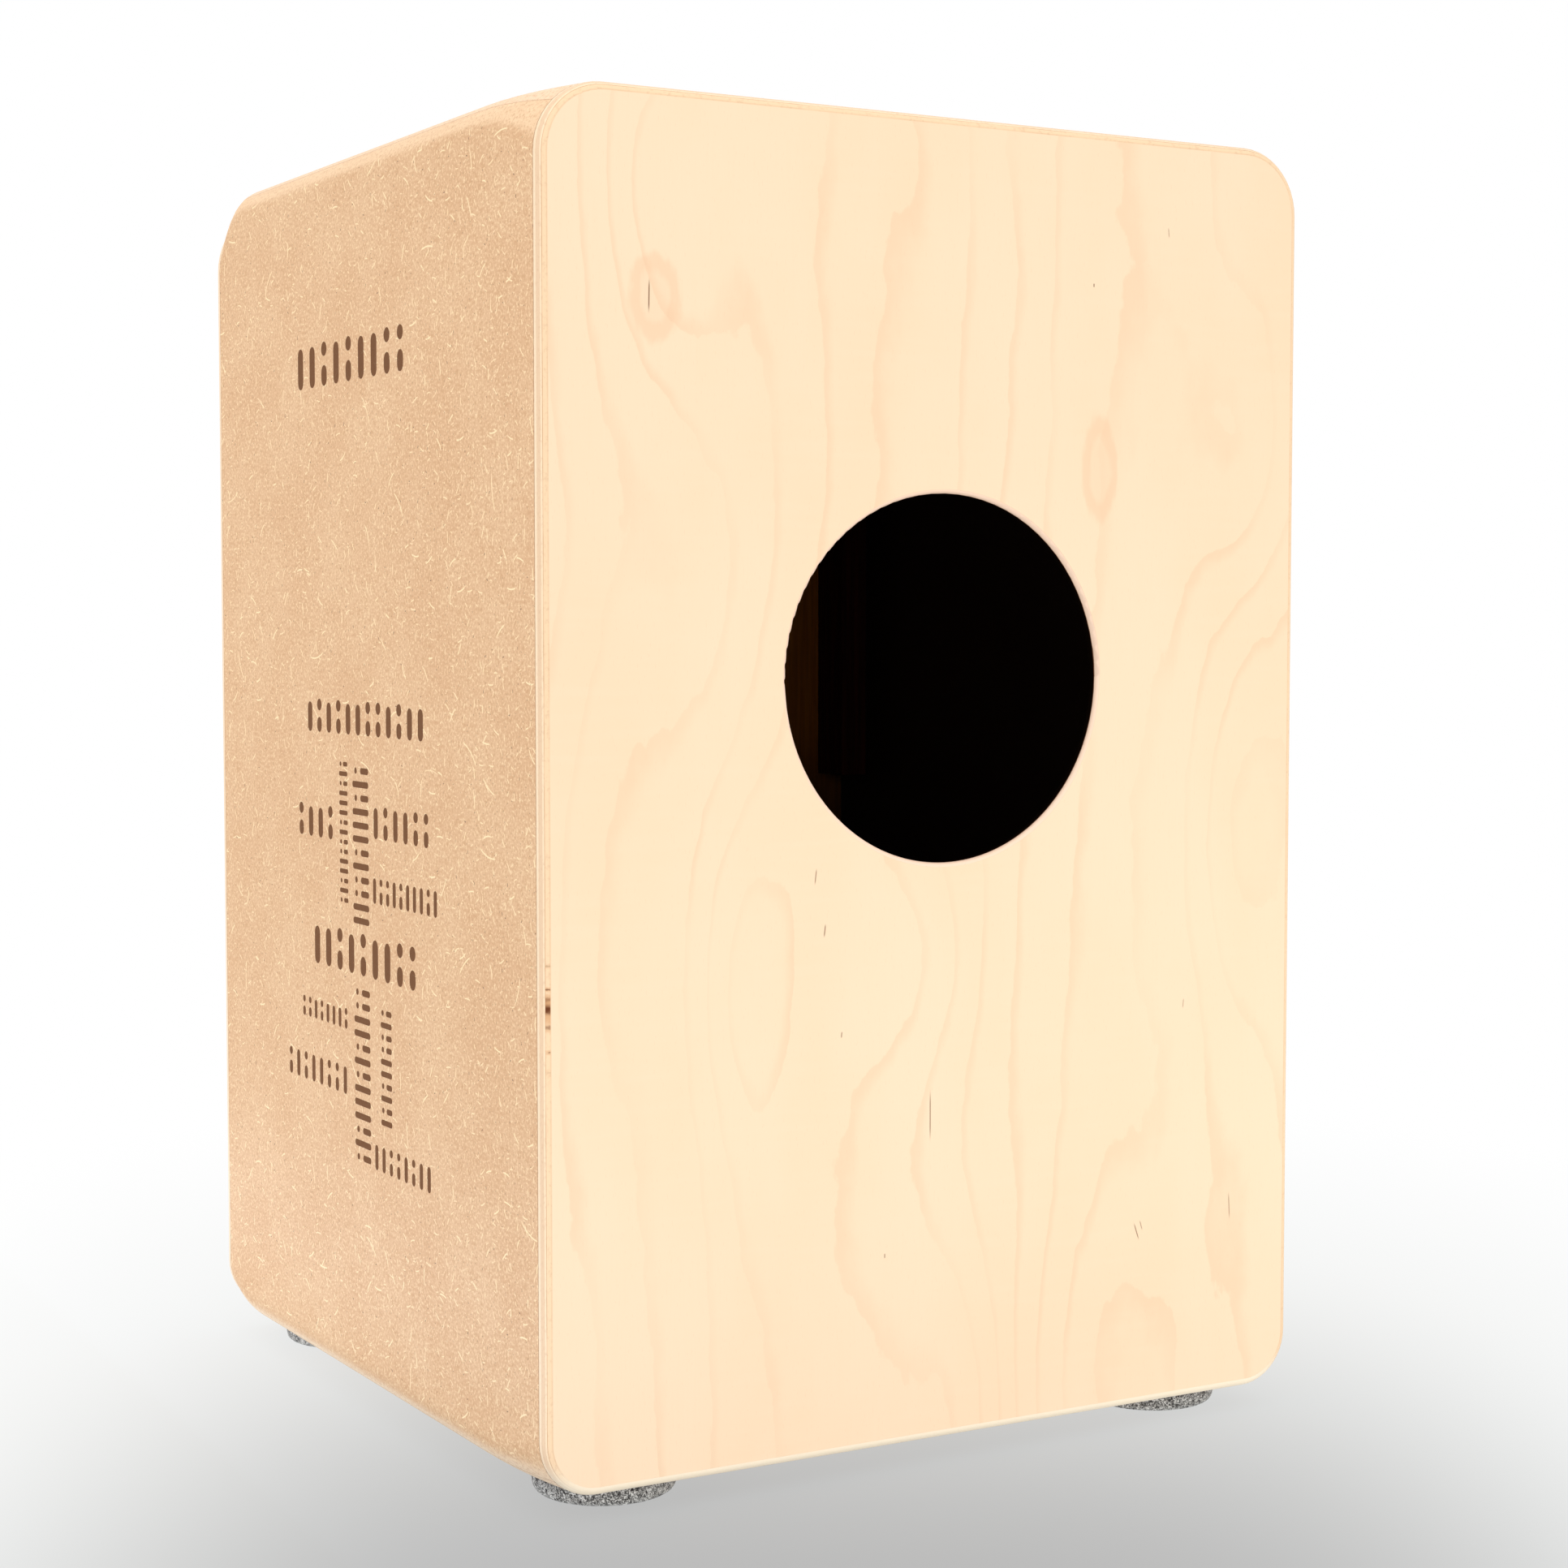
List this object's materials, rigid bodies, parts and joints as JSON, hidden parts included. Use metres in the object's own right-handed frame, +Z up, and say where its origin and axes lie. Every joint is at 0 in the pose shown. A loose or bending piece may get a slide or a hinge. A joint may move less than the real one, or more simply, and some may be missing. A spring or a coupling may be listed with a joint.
{
  "type": "cajon",
  "caption": "Box drum with a mitred MDF shell, a rounded plywood back with one round sound hole, a thin screwed-on playing surface, an inner snare and felt feet.",
  "frame": {"origin": "on the floor under the middle of the box", "axes": "+Z up; the playing surface faces -Y, the back with the sound hole faces +Y, and +X is the left hand of a player who sits on the box and faces -Y"},
  "size_m": [0.3, 0.3, 0.4545],
  "materials": {
    "mdf": "clear satin lacquer over light brown MDF",
    "birch_plywood": "clear satin lacquer over pale rotary cut birch",
    "tapa_veneer": "clear satin lacquer over pale birch",
    "batten_wood": "sawn softwood stained dark brown",
    "screw_steel": "zinc plated",
    "snare_steel": "bright drawn wire",
    "felt": "pressed mottled grey wool felt"
  },
  "bodies": {
    "root": {"side_panel_left": "mdf", "side_panel_right": "mdf", "seat_panel": "mdf", "base_panel": "mdf", "rear_panel": "birch_plywood", "playing_surface": "tapa_veneer", "corner_batten_left": "batten_wood", "corner_batten_right": "batten_wood", "front_rail": "batten_wood", "snare_bar": "batten_wood", "tapa_screws_top": "screw_steel", "tapa_screws_left": "screw_steel", "tapa_screws_right": "screw_steel", "snare_bar_screws": "screw_steel", "snare_clamp_screws": "screw_steel", "snare_clamp_left": "snare_steel", "snare_clamp_right": "snare_steel", "snare_wires_left": "snare_steel", "snare_wires_right": "snare_steel", "felt_foot_front_left": "felt", "felt_foot_front_right": "felt", "felt_foot_rear_left": "felt", "felt_foot_rear_right": "felt"}
  },
  "joints": []
}
